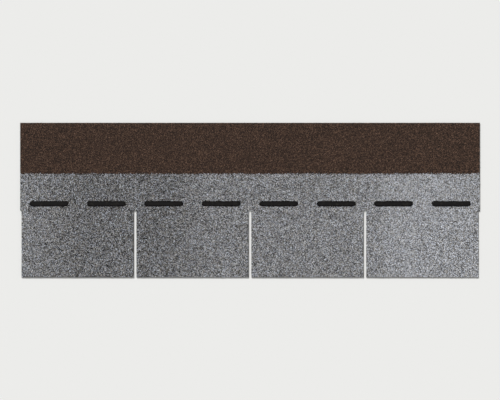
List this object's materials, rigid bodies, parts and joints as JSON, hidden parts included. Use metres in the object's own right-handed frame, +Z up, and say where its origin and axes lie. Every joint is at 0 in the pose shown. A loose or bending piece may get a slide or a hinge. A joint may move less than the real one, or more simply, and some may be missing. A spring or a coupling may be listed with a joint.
{
  "type": "asphalt strip shingle",
  "caption": "Rectangular asphalt strip shingle with slotted tabs along one long edge, grey mineral granules on top and a line of self-sealing dabs above the slots.",
  "frame": {"origin": "middle of the underside, on the surface that the shingle lies on", "axes": "+X along the strip, +Y up the roof, away from the free edge of the tabs, +Z up through the sheet to its granule side"},
  "size_m": [1, 0.336, 0.0042],
  "materials": {
    "granules": "matte",
    "sealant": "satin"
  },
  "bodies": {
    "root": {"shingle_strip": "granules", "seal_dab_1": "sealant", "seal_dab_2": "sealant", "seal_dab_3": "sealant", "seal_dab_4": "sealant", "seal_dab_5": "sealant", "seal_dab_6": "sealant", "seal_dab_7": "sealant", "seal_dab_8": "sealant"}
  },
  "joints": []
}
